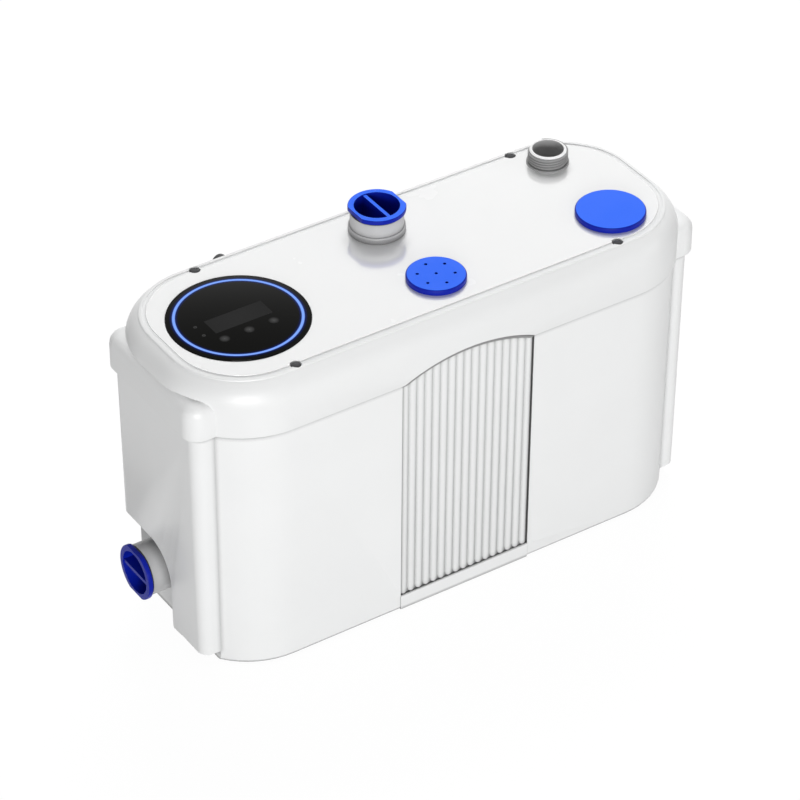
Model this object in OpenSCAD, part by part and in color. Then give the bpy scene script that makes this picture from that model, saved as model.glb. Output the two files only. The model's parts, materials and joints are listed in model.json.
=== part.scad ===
// Macerator toilet pump: a drafted tank under a deep skirted lid, with spigots,
// caps and a round control glass on top, and a sealed motor, cutter and pump inside.
// Millimetres, +Z up, floor at z = 0, origin under the middle of the overall box.

/* [Body] */
// Height of the cover plate's top above the floor
body_h = 275.2; // [270:0.2:300]
// Length over the lid's skirt, without the end wings
lid_length = 471.2; // [466:0.4:500]
// Width over the lid's skirt
lid_width = 180; // [179:1:190]
// Corner radius of the lid's skirt in plan
lid_corner = 72.6; // [70:0.2:76]
// Depth of the skirt's lower edge below the plate
skirt_depth = 47.5; // [45:0.5:50]
// Thickness of the lid's walls
lid_wall = 3; // [2.6:0.1:3.4]
// Height of the shadow gap between the lid and the tank
parting_gap = 1.4; // [0.8:0.1:2]
// How far the tank's walls stand in from the skirt
tank_step = 2.2; // [1.8:0.1:2.8]
// How far the tank's walls draw in from top to bottom
tank_draft = 2; // [1:0.1:3]
// Thickness of the tank's walls at the bottom
tank_wall = 3.6; // [3.2:0.1:4.4]
// Radius of the tank's lower edge
bottom_r = 3; // [2:0.5:5]

/* [End wings] */
// How far the lid's wings reach past the skirt at each end
wing_reach = 3.4; // [2.6:0.1:4]
// Width of the lid's wings
wing_width = 132; // [128:1:138]
// Corner radius of the wings in plan
wing_corner = 14; // [12:0.5:17]
// Depth of the wings' top below the plate
wing_drop = 17; // [15:0.5:20]
// Radius of the wings' upper edge
wing_edge = 10; // [8:0.5:12]
// How far the tank's wings stand in from the lid's at their sides
wing_step = 3; // [2.8:0.1:3.6]
// How far the tank's wings stand in from the lid's at their ends
wing_step_end = 5.2; // [4.8:0.1:5.4]
// Height of the tank wings' lower edge above the floor
wing_foot = 10.2; // [8:0.2:14]

/* [Lid crown] */
// Distance of the raised rim from the skirt
rim_inset = 10.6; // [9:0.2:12]
// Width of the raised rim
rim_width = 3; // [2:0.2:4]
// Width of the groove between the rim and the cover plate
groove_width = 3.2; // [2.4:0.2:4]
// Slope of the band outside the rim, in degrees
band_slope = 38; // [34:1:42]
// Width of the band's straight part beside the rim
band_flat = 0.6; // [0.4:0.1:2]
// Radius of the rim's outer edge
rim_round = 1.4; // [0.8:0.1:1.8]
// Thickness of the cover plate
plate_t = 2.6; // [2:0.1:3.2]
// Thickness of the deck under the cover plate
deck_t = 3; // [2.6:0.1:4]

/* [Front panel] */
// Width of the fluted panel
panel_width = 124; // [110:1:136]
// Number of flutes
flute_count = 17; // [9:1:21]
// Depth of the panel below the tank's face
panel_depth = 2; // [1.6:0.1:2.4]
// Depth of the valleys below the flutes' crests
flute_depth = 1.1; // [0.6:0.1:1.4]
// Height of the panel's lower ledge above the floor
panel_foot = 15.5; // [12:0.5:30]
// Rise of the arch above the skirt's lower edge
arch_rise = 13.5; // [11:0.5:15]
// Gap between the lid's arch and the tank's panel
arch_gap = 1.6; // [1:0.1:2.4]
// Width of the lip round the panel's arched top
arch_lip = 2.2; // [1.4:0.1:3]

/* [Lid joint] */
// Height of the tank's rim above its shoulder
rim_h = 14; // [13:0.5:15]
// Clearance between the tank's rim and the lid's wall
rim_fit = 0.4; // [0.3:0.1:0.8]
// Thickness of the gasket
gasket_t = 3; // [2:0.5:4]
// Thickness of the flange that presses the gasket
press_t = 2.5; // [2:0.1:3]
// Distance of the cover screws from the skirt's ends
screw_in = 85.6; // [83:0.2:90]
// How far the cover screws' axes lie outside the cover plate's edge
screw_out = 1.3; // [0.6:0.1:2]
// Radius of the cover screws' heads
screw_head_r = 4.3; // [4:0.1:4.6]
// Height of the cover screws' heads
screw_head_h = 2.1; // [1.6:0.1:2.3]
// Radius of the cover screws' shanks
screw_r = 2.5; // [2:0.1:3]
// Length of the cover screws under the head
screw_length = 68; // [55:1:80]

/* [Inlets] */
// Outer radius of the top and side spigots
spigot_r = 21.6; // [20:0.1:22.4]
// Wall of the top and side spigots
spigot_wall = 2; // [1.6:0.1:2.4]
// Place of the top inlet along the lid
top_inlet_x = 0.3; // [-8:0.1:8]
// Distance of the top inlet from the rear skirt
top_inlet_in = 45.8; // [44.4:0.1:48]
// Height of the top cap's face above the plate
top_cap_h = 22.6; // [18:0.2:30]
// How far the collar at the top inlet's foot stands out from the spigot
collar_out = 1.55; // [1.2:0.05:3]
// Height of that collar
collar_h = 5.6; // [3:0.2:8]
// How far the top inlet reaches below the plate
inlet_drop = 42; // [30:1:50]
// Place of the side inlets behind the lid's middle
side_inlet_y = 16.5; // [10:0.5:22]
// Height of the side inlets' axis above the floor
side_inlet_z = 52.9; // [50:0.1:58]
// How far the side caps' faces stand out from the skirt's ends
side_cap_out = 12.4; // [11:0.2:18]
// How far the niches' inner wall lies in from the skirt's ends
niche_depth = 19.6; // [18:0.2:22]
// Radius of the niches' arches
niche_r = 30.5; // [28:0.5:33]
// How far the rear inlet's axis lies below the skirt
rear_inlet_drop = 67.7; // [66.7:0.1:74]
// Outer radius of the rear inlet's spigot
rear_inlet_r = 55; // [52:0.5:55.5]
// Wall of the rear inlet's spigot
rear_inlet_wall = 4; // [3:0.2:5]
// How far the boot stands out behind the skirt
rear_out = 28; // [24:1:34]

/* [Caps] */
// How far the finger caps' flanges stand out from the spigots
cap_out = 1.8; // [1.2:0.1:2.8]
// Thickness of the finger caps' flanges
cap_flange_t = 4; // [3:0.2:5]
// How far the flanges' flats lie inside the spigots' outer wall
cap_flat_in = 0.8; // [0:0.1:1.6]
// Distance of the finger bowl's wall from the spigot's bore
bowl_in = 1.2; // [1:0.1:2.6]
// Depth of the finger bowl
bowl_depth = 17; // [12:0.5:17.5]
// Width of the finger bar
bar_width = 3; // [2.4:0.1:4]
// How far the finger bar lies below the cap's face
bar_drop = 0.8; // [0.2:0.1:2]
// Length of the plug below the flange
plug_length = 15; // [14:0.5:18]
// Thickness of the washers under the finger caps
washer_t = 1.2; // [0.8:0.1:1.6]
// Height of the vent cap and the blank cap above the plate
disc_cap_h = 4.8; // [4:0.2:8]
// Radius of the vent cap
vent_cap_r = 24.1; // [23.2:0.1:26]
// Place of the vent along the lid
vent_x = 1.4; // [-8:0.1:8]
// Distance of the vent from the front skirt
vent_in = 51.3; // [49:0.1:53]
// Outer radius of the vent cup's neck
vent_neck_r = 21; // [19:0.1:21.5]
// Number of holes round the vent cap's middle
vent_holes = 6; // [4:1:8]
// Radius of the ring of holes
vent_ring_r = 14.8; // [12:0.1:15.4]
// Radius of each hole
vent_hole_r = 1.3; // [0.8:0.1:2]
// Radius of the blank cap
blank_cap_r = 28.7; // [27.5:0.1:30]
// Distance of the access neck from the skirt's right end
access_end = 67.5; // [65:0.1:72]
// Distance of the access neck from the front skirt
access_in = 50.1; // [48.4:0.1:52]
// Outer radius of the access neck
access_neck_r = 25.6; // [24:0.1:26]
// Length of the plug under the vent cap and the blank cap
disc_plug = 8; // [6:0.5:9]

/* [Outlet] */
// Distance of the outlet beyond the cover screws
outlet_out = 20; // [17:0.5:22]
// Distance of the outlet from the rear skirt
outlet_in = 40.2; // [39.2:0.2:42]
// Radius over the outlet's thread
thread_r = 16.62; // [16:0.01:17]
// Radius of the outlet's bore
outlet_bore_r = 12.9; // [11:0.1:13.4]
// Height of the outlet's rim above the plate
outlet_h = 12.9; // [10:0.1:20]
// How far the collar at the outlet's foot stands out from the thread
outlet_collar_out = 0.88; // [0.6:0.02:2.4]
// How far the nipple reaches below the plate
nipple_drop = 45; // [40:1:46]

/* [Control] */
// Distance of the control glass from the skirt's left end
glass_end = 80.2; // [77.6:0.1:83.6]
// Radius of the control glass
glass_r = 56.4; // [55.5:0.1:58]
// How far the glass stands above the plate
glass_proud = 1; // [0.4:0.1:1.6]
// Depth of the glass's seat in the plate
glass_seat = 1.6; // [1.2:0.1:1.8]
// Outer radius of the light ring
light_r = 51.2; // [50:0.1:53]
// Width of the light ring
light_width = 2.7; // [1.6:0.1:3.6]
// Depth of the inlays in the glass
inlay_depth = 0.8; // [0.6:0.1:1]
// Length of the display
display_length = 51; // [46:0.5:56]
// Width of the display
display_width = 18.5; // [14:0.5:20]
// Spacing of the touch keys
key_pitch = 22; // [18:0.2:24]
// Radius of the touch keys
key_r = 4.4; // [3:0.1:6]
// Distance of the touch keys in front of the glass's middle
key_y = 18.6; // [17:0.2:22]
// Radius of the indicator lamps
led_r = 1.6; // [1:0.1:2.4]
// Spacing of the indicator lamps
led_pitch = 12.8; // [8:0.2:16]
// Distance of the lamps left of the glass's middle
led_x = 34.7; // [30:0.1:38]
// Outer radius of the electronics box
box_r = 50; // [48:0.2:50.6]
// Depth of the electronics box below the deck's top
box_depth = 32; // [28:0.5:34]
// Place of the level tube right of the control glass's middle
level_dx = 26; // [20:0.5:27]
// Place of the level tube from the middle
level_y = -22; // [-23:0.5:-18]
// Outer radius of the level tube
level_r = 12; // [9:0.5:14]

/* [Motor and pump] */
// Place of the motor's axis from the middle
motor_y = -20; // [-21:0.5:-18]
// Outer radius of the motor housing
motor_r = 42; // [40:0.5:43]
// How far the motor's flange lies below the tank's shoulder
motor_drop = 20.3; // [18.5:0.1:23.5]
// Gap between the blade's nut and the motor's neck
blade_gap = 25; // [21:0.5:31]
// Radius of the drive shaft
shaft_r = 5; // [4:0.1:6]
// Radius of the rotor core
rotor_r = 22; // [18:0.2:26]
// Outer radius of the bearings
bearing_r = 13; // [11:0.2:14]
// Height of the bearings
bearing_h = 9; // [7:0.2:9.4]
// Outer radius of the volute
volute_r = 46; // [44:0.5:48]
// Height of the volute's underside above the floor
volute_z = 13; // [12.5:0.1:14]
// Height of the volute
volute_h = 27; // [26:0.2:28]
// Gap between the impeller and the volute's wall
impeller_gap = 3; // [1.5:0.5:7]
// Number of vanes
vane_count = 6; // [4:1:8]
// Radius swept by the macerator blade
blade_r = 44; // [36:0.5:50]
// Gap between the strainer basket and the tank's front wall
basket_gap = 4.2; // [3.2:0.2:6.2]
// Thickness of the basket's sheet
basket_t = 1.6; // [1:0.1:2.4]
// Height of the basket
basket_h = 110; // [90:1:116]
// Spacing of the motor's posts along the body
post_span_x = 156; // [150:1:166]
// Spacing of the motor's posts across the body
post_span_y = 124; // [120:1:128]
// Outer radius of the discharge hose
hose_r = 15.5; // [15:0.1:16]
// Radius of the discharge hose's bend
hose_bend_r = 30; // [24:1:40]
// Radius of the check valve's chamber
chamber_r = 20; // [19.6:0.1:21]

/* [Hidden] */
$fn = 64;

// Clearances
hole_fit = 0.2;
slide_fit = 0.05;
press_clear = 0.02;
seat_gap = 0.05;
cut = 1;

// Heights and insets that follow from the sizes above
rear_reach = lid_width / 2 + rear_out;
frame_y = -rear_out / 2;
skirt_z = body_h - skirt_depth;
shoulder_z = skirt_z - parting_gap;
foot_h = 1.2;
floor_z = foot_h + tank_wall;
rim_z = shoulder_z + rim_h;
gasket_top = rim_z + gasket_t;
deck_z = body_h - plate_t;
deck_under = deck_z - deck_t;
recess_inset = rim_inset + rim_width;
plate_inset = recess_inset + groove_width;
rim_out_inset = lid_wall + rim_fit - tank_step;
rim_in_inset = tank_draft + tank_wall;
cavity_inset = tank_step + tank_draft + tank_wall;
draft_angle = atan(tank_draft / (shoulder_z - foot_h));
face_y = lid_width / 2 - tank_step;

// Lid profile: where the band and the vertical skirt end
shoulder_turn = 90 - band_slope;
band_out = rim_inset - band_flat;
shoulder_r = band_out / (1 - cos(shoulder_turn));
band_z = body_h - rim_round - (rim_inset - band_out) * tan(band_slope);
skirt_top = band_z - shoulder_r * sin(shoulder_turn);
corner_steps = 14;
edge_steps = 4;
shoulder_steps = 8;

// Places that follow from the lid's edges
screw_span_x = lid_length - 2 * screw_in;
screw_span_y = lid_width - 2 * (plate_inset - screw_out);
top_inlet_y = lid_width / 2 - top_inlet_in;
outlet_x = screw_span_x / 2 + outlet_out;
outlet_y = lid_width / 2 - outlet_in;
vent_y = vent_in - lid_width / 2;
access_x = lid_length / 2 - access_end;
access_y = access_in - lid_width / 2;
glass_x = glass_end - lid_length / 2;
niche_x = lid_length / 2 - niche_depth;
side_cap_x = lid_length / 2 + side_cap_out;
rear_inlet_z = skirt_z - rear_inlet_drop;
cavity_half = lid_width / 2 - cavity_inset;

// Stack of the pump, the cutter and the motor
seal_h = 9;
blade_t = 3;
nut_h = 6;
roof_z = volute_z + volute_h;
shoulder_top = roof_z + 10;
neck_z = shoulder_top + blade_t + nut_h + blade_gap;
motor_z = neck_z + seal_h + 3;
motor_hang_z = shoulder_z - motor_drop;
motor_length = motor_hang_z - motor_z;

// Points round a rounded rectangle, anticlockwise
function ring(length, width, corner) = [
    for (q = [0:3], i = [0:corner_steps])
        let (
            a = 90 * q + 90 * i / corner_steps,
            cx = (q == 0 || q == 3 ? 1 : -1) * (length / 2 - corner),
            cy = (q < 2 ? 1 : -1) * (width / 2 - corner)
        )
        [cx + corner * cos(a), cy + corner * sin(a)]
];

// Solid through rounded rectangles, each level being [height, inset]
module loft(length, width, corner, levels) {
    count = 4 * (corner_steps + 1);
    last = len(levels) - 1;
    points = [
        for (lv = levels, p = ring(length - 2 * lv[1], width - 2 * lv[1], corner - lv[1]))
            [p[0], p[1], lv[0]]
    ];
    sides = [
        for (k = [0:last - 1], i = [0:count - 1])
            let (j = (i + 1) % count)
            [k * count + i, (k + 1) * count + i, (k + 1) * count + j, k * count + j]
    ];
    floor_face = [for (i = [0:count - 1]) i];
    roof_face = [for (i = [count - 1:-1:0]) last * count + i];
    polyhedron(points, concat([floor_face], sides, [roof_face]));
}

// Rounded rectangle with true arcs
module rounded(length, width, corner) {
    square([length - 2 * corner, width], center = true);
    square([length, width - 2 * corner], center = true);
    for (sx = [-1, 1], sy = [-1, 1])
        translate([sx * (length / 2 - corner), sy * (width / 2 - corner)]) circle(corner);
}

// Outline of the lid's main body, drawn in by an inset
module body_plan(inset) {
    rounded(lid_length - 2 * inset, lid_width - 2 * inset, lid_corner - inset);
}

// Outline of the two end wings, drawn in by an inset
module wing_plan(inset) {
    length = lid_length + 2 * wing_reach - 2 * inset;
    rounded(length, wing_width - 2 * inset, wing_corner - inset);
}

module plan(inset) {
    body_plan(inset);
    wing_plan(inset);
}

// Outline of the tank's end wings, drawn in from the tank's own walls
module tank_wing_plan(inset) {
    length = lid_length + 2 * (wing_reach - wing_step_end - inset);
    width = wing_width - 2 * (wing_step + inset);
    rounded(length, width, wing_corner - wing_step - inset);
}

module tank_plan(inset) {
    body_plan(tank_step + inset);
    tank_wing_plan(inset);
}

// Wall between two insets of the tank's outline
module tank_ring(outer, inner, z, h) {
    translate([0, 0, z]) linear_extrude(h) difference() {
        tank_plan(outer);
        tank_plan(inner);
    }
}

module placed() {
    translate([0, frame_y, 0]) children();
}

// Copies at the corners of a rectangle
module at_corners(span_x, span_y) {
    for (sx = [-1, 1], sy = [-1, 1])
        translate([sx * span_x / 2, sy * span_y / 2, 0]) children();
}

module tube(outer, inner, h) {
    difference() {
        cylinder(r = outer, h = h);
        translate([0, 0, -cut]) cylinder(r = inner, h = h + 2 * cut);
    }
}

// Both ends, the left one mirrored from the right
module both_ends() {
    for (m = [0, 1]) mirror([m, 0, 0]) children();
}

// Draws an outline in the plane of Y and Z, and extrudes it along X
module along_x(h) {
    rotate([90, 0, 90]) linear_extrude(h) children();
}

// Draws an outline in the plane of X and Z, and extrudes it along Y
module along_y(h) {
    rotate([90, 0, 0]) translate([0, 0, -h]) linear_extrude(h) children();
}

// Tank
wing_length = lid_length + 2 * wing_reach;
function draft_at(z) = tank_draft * (shoulder_z - z) / (shoulder_z - foot_h);
wing_chamfer = 1.5;

module tank_body() {
    edge = [
        for (i = [0:edge_steps])
            let (a = 90 * i / edge_steps, z = foot_h + bottom_r * (1 - cos(a)))
            [z, draft_at(z) + bottom_r * (1 - sin(a))]
    ];
    loft(
        lid_length - 2 * tank_step, lid_width - 2 * tank_step, lid_corner - tank_step,
        concat(edge, [[shoulder_z, 0]])
    );
}

module tank_wings() {
    loft(
        wing_length - 2 * wing_step_end, wing_width - 2 * wing_step, wing_corner - wing_step,
        [
            [wing_foot, draft_at(wing_foot) + wing_chamfer],
            [wing_foot + wing_chamfer, draft_at(wing_foot + wing_chamfer)],
            [shoulder_z, 0]
        ]
    );
}

// Arch in the front skirt, and the panel's top inside it
arch_half = panel_width / 2;
arch_r = (arch_half * arch_half + arch_rise * arch_rise) / (2 * arch_rise);
arch_z = skirt_z + arch_rise - arch_r;
tab_t = 3.6;

module arch_outline(r, half) {
    intersection() {
        translate([0, arch_z]) circle(r, $fn = 128);
        translate([-half, shoulder_z - cut]) square([2 * half, arch_rise + 2 * parting_gap]);
    }
}

module arch_tab() {
    translate([0, -face_y, 0]) along_y(tab_t) arch_outline(arch_r - arch_gap, arch_half + 6);
}

// Moves what is drawn at y = 0 onto the tank's leaning front face
module on_front() {
    lean_y = face_y - tank_draft;
    translate([0, -lean_y, foot_h]) rotate([draft_angle, 0, 0]) translate([0, 0, -foot_h]) children();
}

panel_top = shoulder_z - 0.8;

module panel_outline() {
    translate([-arch_half, panel_foot]) square([panel_width, panel_top - panel_foot]);
    arch_outline(arch_r - arch_gap - arch_lip, arch_half);
}

flute_pitch = panel_width / flute_count;
flute_half = flute_pitch / 2;
flute_r = (flute_half * flute_half + flute_depth * flute_depth) / (2 * flute_depth);
crest_y = panel_depth - flute_depth - 0.1;

function flute_x(i) = (i - (flute_count - 1) / 2) * flute_pitch;

flute_gap = 0.3;

module flute_outline() {
    half = arch_half - flute_gap;
    translate([-half, panel_foot + flute_half])
        square([2 * half, panel_top + flute_gap - panel_foot - flute_half]);
    arch_outline(arch_r - arch_gap - arch_lip + flute_gap, half);
    for (i = [0:flute_count - 1])
        translate([flute_x(i), panel_foot + flute_half]) circle(flute_half - flute_gap);
}

module flutes() {
    on_front() intersection() {
        along_y(panel_depth + cut / 2) flute_outline();
        linear_extrude(body_h) intersection() {
            translate([-arch_half, 0]) square([panel_width, panel_depth + cut / 2]);
            for (i = [0:flute_count - 1])
                translate([flute_x(i), crest_y + flute_r]) circle(flute_r);
        }
    }
}

module panel_recess() {
    on_front() translate([0, -cut, 0]) along_y(panel_depth + cut) panel_outline();
}

// Arched niche round each side inlet, open to the rear
module niche_outline(grow) {
    down = side_inlet_z + cut;
    r = niche_r + grow;
    circle(r);
    translate([-r, -down]) square([r + cut, down]);
    translate([0, -down]) square([lid_width / 2, down + r]);
}

module niche(grow) {
    translate([niche_x - grow, side_inlet_y, side_inlet_z]) along_x(2 * niche_r) niche_outline(grow);
}

// Block below the wings: outside it is cut away, and the wall above it is kept
under_gap = 0.4;

module under_wing(grow) {
    translate([niche_x - grow, -lid_width, -cut])
        cube([lid_length, 2 * lid_width, wing_foot - under_gap + grow + cut]);
}

// Plain band below the fluted panel, down to the tank's lower edge
module kick_band() {
    proud = 0.3;
    bottom = foot_h + proud;
    on_front() translate([-arch_half, -proud, bottom])
        cube([panel_width, bottom_r + 2 * proud, panel_foot - 2 * proud - bottom]);
}

// Boss that carries a side inlet's spigot
side_boss_x = niche_x - 8;
side_boss_r = 28;

module side_boss() {
    translate([side_boss_x, side_inlet_y, side_inlet_z]) rotate([0, 90, 0])
        cylinder(r = side_boss_r, h = niche_x - side_boss_x + 4);
}

screw_boss_r = 6.5;
post_r = 8;
post_hole_r = 2.1;
damper_t = 6;
bracket_t = 3;
post_top = motor_hang_z - bracket_t - damper_t;

// Column with a web that ties it to the long wall beside it
module wall_post(x, y, r, top, web) {
    side = y > 0 ? 1 : -1;
    reach = lid_width / 2 - cavity_inset + cut;
    translate([x, y, floor_z - cut]) cylinder(r = r, h = top - floor_z + cut);
    translate([x - web / 2, side > 0 ? y : -reach, floor_z - cut])
        cube([web, reach - side * y, top - floor_z + cut]);
}

module inner_posts() {
    for (sx = [-1, 1], sy = [-1, 1]) {
        wall_post(sx * screw_span_x / 2, sy * screw_span_y / 2, screw_boss_r, rim_z, 5);
        wall_post(sx * post_span_x / 2, sy * post_span_y / 2, post_r, post_top, 6);
    }
}

module tank_cavity() {
    difference() {
        union() {
            translate([0, 0, floor_z]) linear_extrude(body_h) body_plan(cavity_inset);
            translate([0, 0, wing_foot + tank_wall]) linear_extrude(body_h)
                tank_wing_plan(rim_in_inset);
        }
        both_ends() niche(tank_wall);
        both_ends() under_wing(tank_wall);
        both_ends() side_boss();
        inner_posts();
    }
}

rear_pad_r = rear_inlet_r + 8;
rear_pad_y = lid_width / 2 - 0.5;
foot_r = 14;
foot_t = 2.4;
foot_span_x = lid_length - 141.2;
foot_span_y = lid_width - 68;
boss_pilot_z = body_h - plate_t - screw_length - 2;

module rear_axis(y) {
    translate([0, y, rear_inlet_z]) rotate([-90, 0, 0]) children();
}

module tank() {
    color("white") placed() {
        difference() {
            union() {
                tank_body();
                tank_wings();
                tank_ring(rim_out_inset, rim_in_inset, shoulder_z - cut, rim_h + cut);
                arch_tab();
                kick_band();
                rear_axis(face_y - tank_draft - cut)
                    cylinder(r = rear_pad_r, h = rear_pad_y - face_y + tank_draft + cut);
            }
            tank_cavity();
            panel_recess();
            both_ends() niche(0);
            both_ends() under_wing(0);
            both_ends() translate([side_boss_x - cut, side_inlet_y, side_inlet_z]) rotate([0, 90, 0])
                cylinder(r = spigot_r + hole_fit, h = lid_length);
            rear_axis(0) cylinder(r = rear_inlet_r + hole_fit, h = lid_width);
            at_corners(screw_span_x, screw_span_y)
                translate([0, 0, boss_pilot_z]) cylinder(r = screw_r + slide_fit, h = body_h);
            at_corners(post_span_x, post_span_y)
                translate([0, 0, post_top - 16]) cylinder(r = post_hole_r, h = body_h);
            at_corners(foot_span_x, foot_span_y)
                translate([0, 0, -cut]) cylinder(r = foot_r + hole_fit, h = foot_t + cut);
        }
        flutes();
    }
}

module feet() {
    color("dimgray") placed() at_corners(foot_span_x, foot_span_y) cylinder(r = foot_r, h = foot_t);
}

module lid_gasket() {
    margin = 0.5;
    color("black") placed()
        tank_ring(rim_out_inset + margin, rim_in_inset - margin, rim_z, gasket_t);
}

// Lid
module lid_body() {
    lower = 0.5;
    shoulder = [
        for (i = [0:shoulder_steps])
            let (a = shoulder_turn * i / shoulder_steps)
            [skirt_top + shoulder_r * sin(a), shoulder_r * (1 - cos(a))]
    ];
    crown = [
        for (i = [0:edge_steps])
            let (a = 90 * i / edge_steps)
            [body_h - rim_round * (1 - sin(a)), rim_inset + rim_round * (1 - cos(a))]
    ];
    loft(
        lid_length, lid_width, lid_corner,
        concat([[skirt_z, lower], [skirt_z + lower, 0]], shoulder, crown)
    );
}

module lid_wings() {
    lower = 0.5;
    top = body_h - wing_drop;
    edge = [
        for (i = [0:edge_steps])
            let (a = 90 * i / edge_steps)
            [top - wing_edge * (1 - sin(a)), wing_edge * (1 - cos(a))]
    ];
    loft(
        wing_length, wing_width, wing_corner,
        concat([[skirt_z, lower], [skirt_z + lower, 0]], edge)
    );
}

screw_tube_r = 6;

// Heights to which the hollow reaches at an inset, a wall below the rounded edges
thin_wall = 0.8 * lid_wall;
wing_axis_z = body_h - wing_drop - wing_edge;
function under_shoulder(inset) =
    skirt_top + sqrt(pow(shoulder_r - lid_wall, 2) - pow(shoulder_r - inset, 2));
function under_wing_edge(inset) =
    wing_axis_z + sqrt(pow(wing_edge - thin_wall, 2) - pow(wing_edge - inset, 2));

module lid_hollow() {
    difference() {
        translate([0, 0, skirt_z - cut]) {
            linear_extrude(skirt_top - lid_wall / 2 - skirt_z + cut) body_plan(lid_wall);
            for (inset = [1.4 * lid_wall, 2.2 * lid_wall])
                linear_extrude(under_shoulder(inset) - skirt_z + cut) body_plan(inset);
            linear_extrude(deck_under - skirt_z + cut) body_plan(rim_inset);
            for (inset = [lid_wall, 1.6 * lid_wall, 2.4 * lid_wall])
                linear_extrude(under_wing_edge(inset) - skirt_z + cut) wing_plan(inset);
        }
        translate([0, 0, gasket_top]) linear_extrude(press_t) difference() {
            plan(lid_wall - 0.2);
            tank_plan(rim_in_inset);
        }
        at_corners(screw_span_x, screw_span_y)
            translate([0, 0, rim_z + seat_gap]) cylinder(r = screw_tube_r, h = body_h);
    }
}

// Recess for a flange that is held between the deck and the plate
seat_flange_t = 1.2;
vent_flange_r = vent_neck_r + 3;
access_flange_r = access_neck_r + 2.4;
box_flange_r = box_r + 3.6;

module deck_seat(x, y, neck_r, flange_r) {
    translate([x, y, deck_z - seat_flange_t]) cylinder(r = flange_r + hole_fit, h = body_h);
    translate([x, y, deck_under - cut]) cylinder(r = neck_r + hole_fit, h = body_h);
}

module deck_hole(x, y, r) {
    translate([x, y, deck_under - cut]) cylinder(r = r, h = body_h);
}

gland_x = 38 - screw_span_x / 2;
gland_z = gasket_top + press_t + 7.6;
gland_r = 6;
gland_boss_r = gland_r + 4.4;
gland_proud = 0.6;

module at_gland(y) {
    translate([gland_x, y, gland_z]) rotate([-90, 0, 0]) children();
}
notch_r = screw_head_r + 0.3;

module lid() {
    color("white") placed() difference() {
        union() {
            lid_body();
            lid_wings();
            at_gland(lid_width / 2 - 5) cylinder(r = gland_boss_r, h = 5 + gland_proud);
        }
        lid_hollow();
        at_gland(lid_width / 2 - 3 * lid_wall)
            cylinder(r = gland_r + 2.7, h = 2 * lid_wall - 0.1, $fn = 6);
        translate([0, 0, deck_z]) linear_extrude(body_h) body_plan(recess_inset);
        translate([0, -lid_width / 2 - cut, 0]) along_y(tank_step + lid_wall + cut)
            arch_outline(arch_r, arch_half + 6);
        deck_hole(top_inlet_x, top_inlet_y, spigot_r + hole_fit);
        deck_hole(outlet_x, outlet_y, thread_r + hole_fit);
        deck_seat(vent_x, vent_y, vent_neck_r, vent_flange_r);
        deck_seat(access_x, access_y, access_neck_r, access_flange_r);
        deck_seat(glass_x, 0, box_r, box_flange_r);
        at_corners(screw_span_x, screw_span_y) {
            translate([0, 0, deck_z]) cylinder(r = notch_r, h = body_h);
            translate([0, 0, rim_z - cut]) cylinder(r = screw_r + hole_fit, h = body_h);
        }
        at_gland(0) cylinder(r = gland_r + hole_fit, h = lid_width);
    }
}

module cover_plate() {
    color("whitesmoke") placed() difference() {
        translate([0, 0, deck_z]) linear_extrude(plate_t) body_plan(plate_inset);
        deck_hole(top_inlet_x, top_inlet_y, spigot_r + hole_fit);
        deck_hole(outlet_x, outlet_y, thread_r + hole_fit);
        deck_hole(vent_x, vent_y, vent_neck_r + hole_fit);
        deck_hole(access_x, access_y, access_neck_r + hole_fit);
        deck_hole(glass_x, 0, box_r);
        translate([glass_x, 0, body_h - glass_seat]) cylinder(r = glass_r + hole_fit, h = plate_t);
        at_corners(screw_span_x, screw_span_y) translate([0, 0, deck_z - cut])
            cylinder(r = notch_r, h = body_h);
    }
}

module cover_screws() {
    color("gray") placed() at_corners(screw_span_x, screw_span_y) difference() {
        union() {
            translate([0, 0, deck_z - screw_length]) cylinder(r = screw_r, h = screw_length + 0.5);
            translate([0, 0, deck_z]) cylinder(r = screw_head_r, h = screw_head_h);
        }
        translate([0, 0, deck_z + screw_head_h / 2]) cylinder(r = 1.6, h = screw_head_h, $fn = 6);
    }
}

// Inlets
bore_r = spigot_r - spigot_wall;
collar_r = spigot_r + collar_out;
top_rim_z = body_h + top_cap_h - cap_flange_t - washer_t;
lock_ring_t = 6;

module top_inlet_spigot() {
    color("silver") placed() translate([top_inlet_x, top_inlet_y, 0]) difference() {
        union() {
            translate([0, 0, body_h - inlet_drop])
                cylinder(r = spigot_r, h = top_rim_z - body_h + inlet_drop);
            translate([0, 0, body_h]) cylinder(r = collar_r, h = collar_h - 1);
            translate([0, 0, body_h + collar_h - 1])
                cylinder(r1 = collar_r, r2 = collar_r - 0.8, h = 1, $fn = 96);
        }
        translate([0, 0, body_h - inlet_drop - cut]) cylinder(r = bore_r, h = body_h);
    }
}

side_rim_x = side_cap_x - cap_flange_t - washer_t;
side_flange_t = 3;
side_inner = 12;

// Side inlet's tube with its flange against the boss inside the tank
module side_spigot() {
    placed() translate([0, side_inlet_y, side_inlet_z]) rotate([0, 90, 0]) {
        translate([0, 0, side_boss_x - side_inner])
            tube(spigot_r, bore_r, side_rim_x - side_boss_x + side_inner);
        translate([0, 0, side_boss_x - side_flange_t])
            tube(side_boss_r - 1, bore_r, side_flange_t);
    }
}

module side_inlet_spigot_right() {
    color("silver") side_spigot();
}

module side_inlet_spigot_left() {
    color("silver") mirror([1, 0, 0]) side_spigot();
}

rear_flange_t = 3;
rear_end_y = rear_reach - 6;
rear_lip = 6;

module rear_inlet_spigot() {
    inner_y = lid_width / 2 - cavity_inset - 3;
    color("white") placed() {
        rear_axis(inner_y) tube(rear_inlet_r, rear_inlet_r - rear_inlet_wall, rear_end_y - inner_y);
        rear_axis(rear_pad_y) tube(rear_pad_r - 1, rear_inlet_r - rear_inlet_wall, rear_flange_t);
    }
}

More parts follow.
